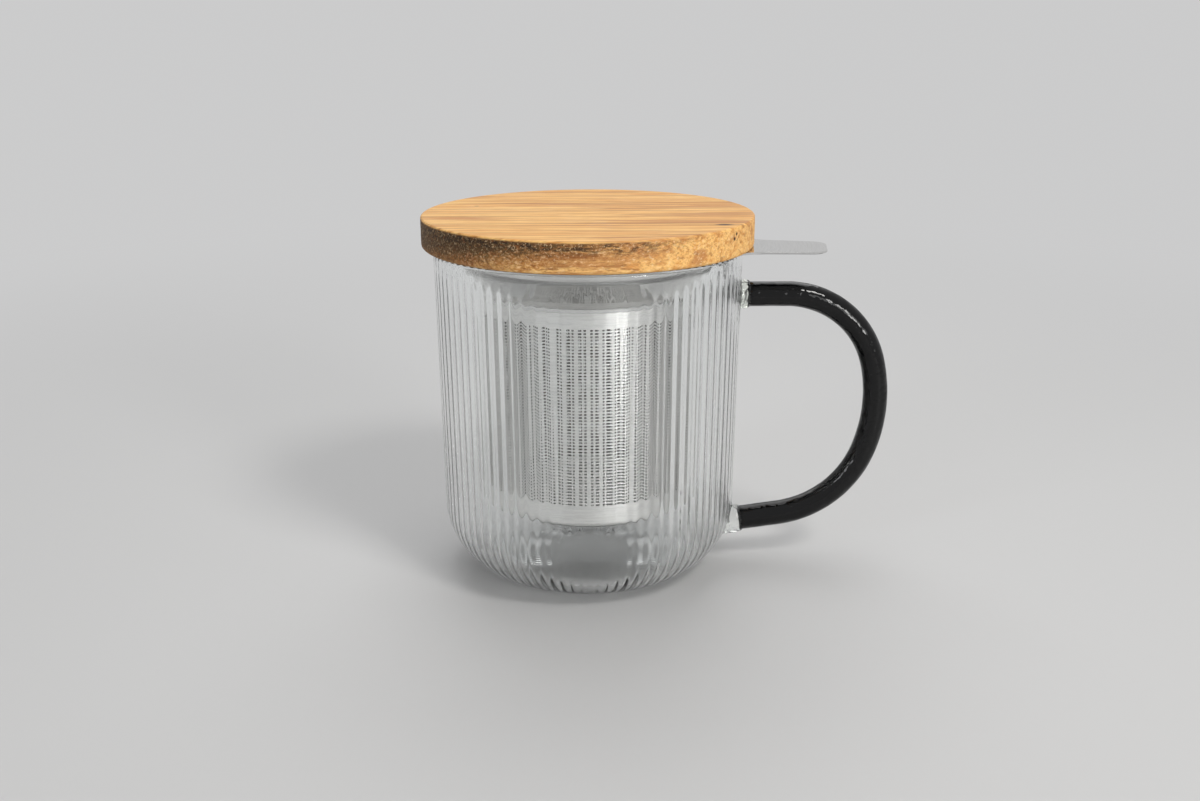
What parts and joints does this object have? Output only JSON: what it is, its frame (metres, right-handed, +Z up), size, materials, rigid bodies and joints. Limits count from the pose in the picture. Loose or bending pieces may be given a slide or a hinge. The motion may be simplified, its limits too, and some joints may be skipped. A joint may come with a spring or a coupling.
{
  "type": "lidded tea mug with infuser",
  "caption": "Clear fluted glass mug with a black glass rod handle, a lift-out steel infuser with a brim, cone and perforated basket, and a round wooden lid that lifts off.",
  "frame": {"origin": "centre of the flat base, on the mug's axis", "axes": "+Z up along the mug's axis, +X out along the handle, +Y completes a right-handed frame"},
  "size_m": [0.1293, 0.09, 0.101],
  "materials": {
    "clear_glass": "clear borosilicate glass with fine flutes down the wall",
    "black_glass": "glossy opaque black glass rod",
    "polished_steel": "polished stainless steel sheet",
    "brushed_steel": "satin stainless steel, finely perforated",
    "acacia": "oiled acacia, honey top with darker end grain on the rim",
    "silicone": "translucent white silicone"
  },
  "bodies": {
    "mug": {"glass_cup": "clear_glass", "handle": "black_glass", "upper_bead": "clear_glass", "lower_bead": "clear_glass"},
    "infuser": {"infuser_collar": "polished_steel", "infuser_basket": "brushed_steel", "infuser_base": "brushed_steel"},
    "lid": {"lid": "acacia", "lid_seal": "silicone"}
  },
  "joints": [
    {"name": "infuser_lift", "type": "slide", "parent": "mug", "child": "infuser", "axis": [0, 0, 1], "range_m": [0, 0.085]},
    {"name": "lid_lift", "type": "slide", "parent": "infuser", "child": "lid", "axis": [0, 0, 1], "range_m": [0, 0.05]}
  ]
}
